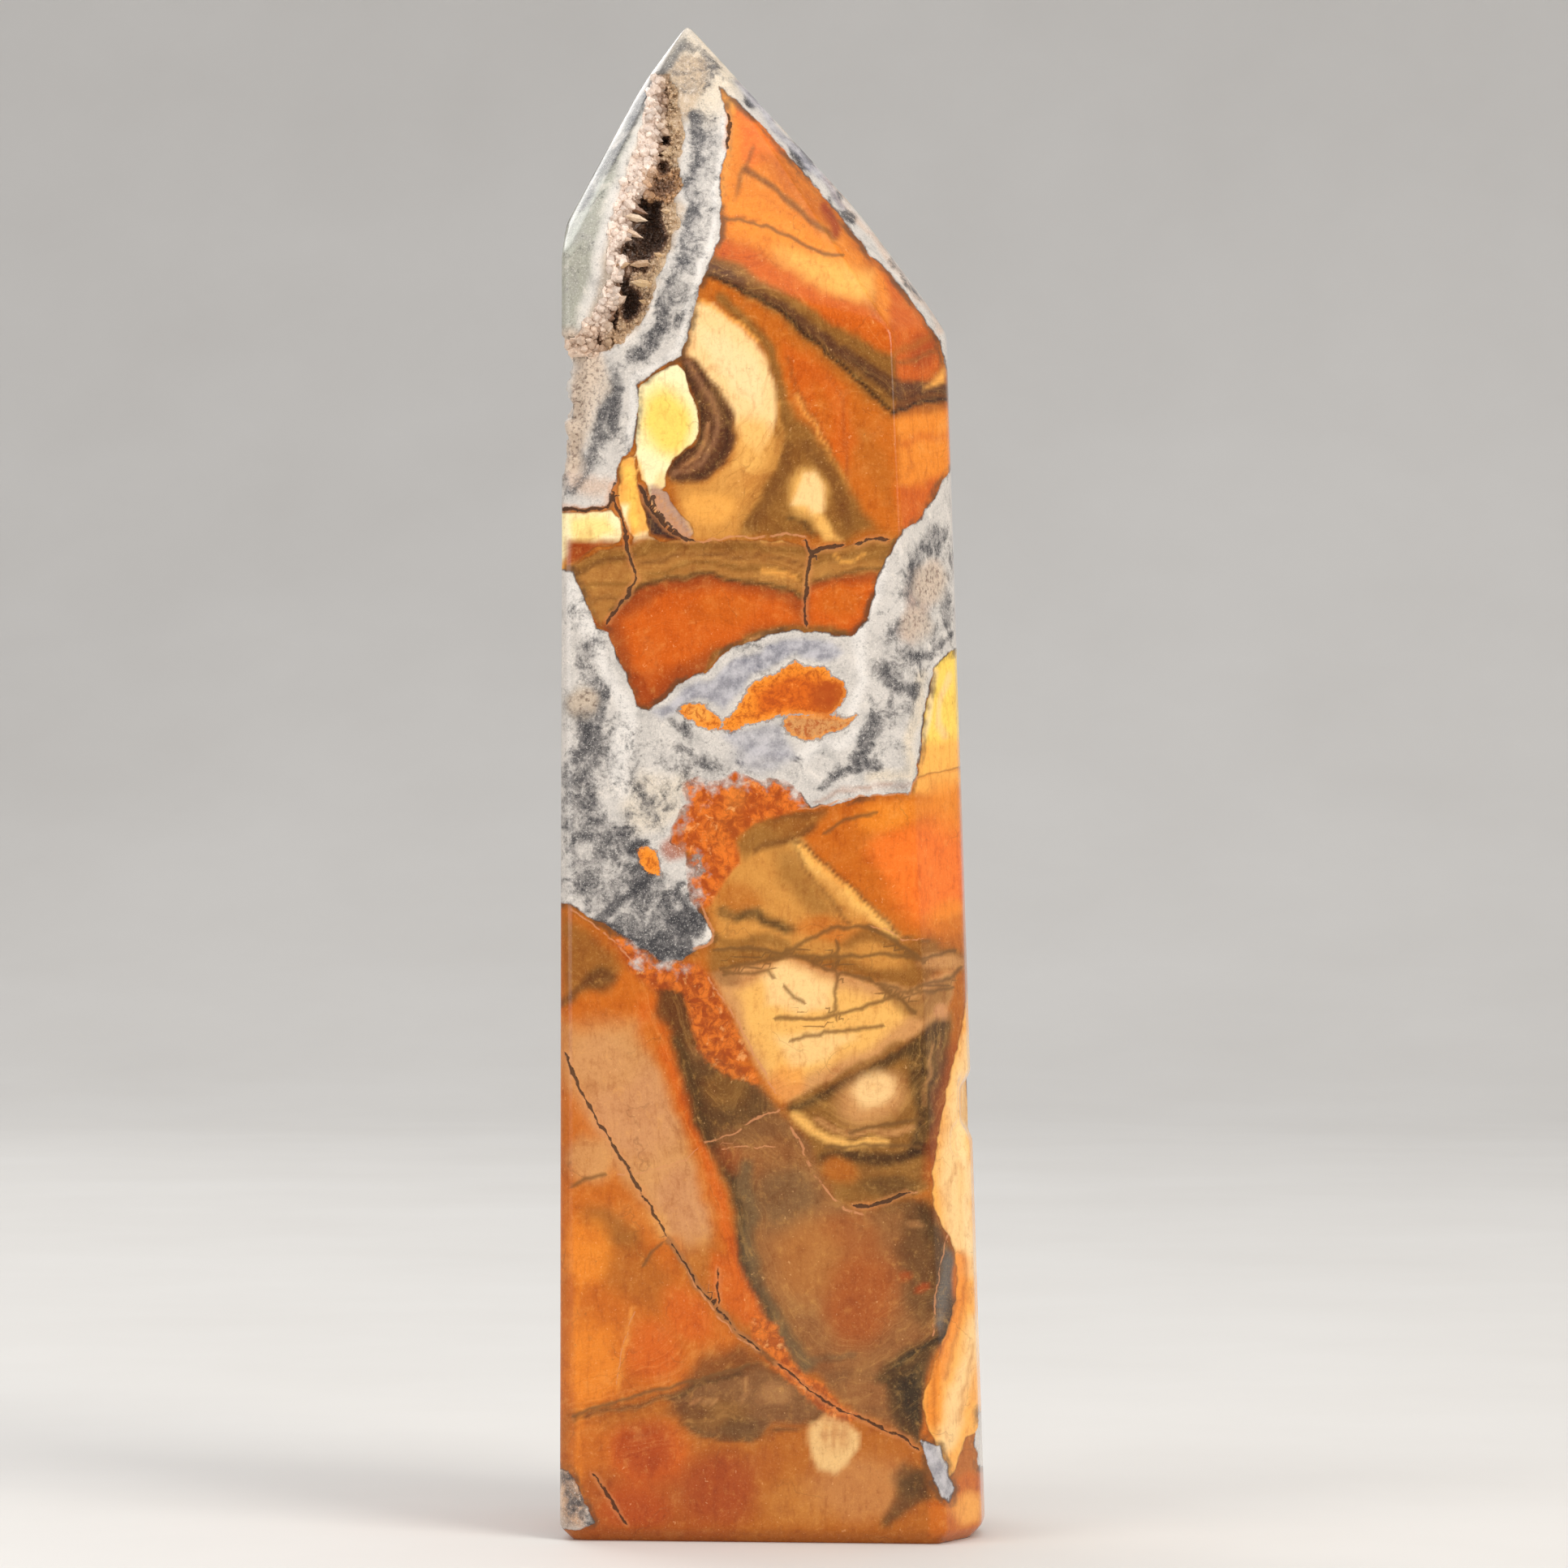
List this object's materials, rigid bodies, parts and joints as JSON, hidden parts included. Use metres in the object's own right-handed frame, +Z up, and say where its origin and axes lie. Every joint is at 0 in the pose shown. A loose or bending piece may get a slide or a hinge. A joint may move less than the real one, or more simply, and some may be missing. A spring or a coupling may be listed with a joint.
{
  "type": "polished stone tower",
  "caption": "Faceted, polished tower of brecciated orange and brown jasper with pale quartz veins and a crystal-lined pocket near its point.",
  "frame": {"origin": "middle of the flat foot, on the surface that the tower stands on", "axes": "+Z up along the tower's height, -Y out of the broad front face that shows the pocket, +X to its right"},
  "size_m": [0.0659, 0.049, 0.24],
  "materials": {
    "polished_breccia": "gloss",
    "quartz_druse": "satin"
  },
  "bodies": {
    "root": {"tower": "polished_breccia", "crystal_crust": "quartz_druse"}
  },
  "joints": []
}
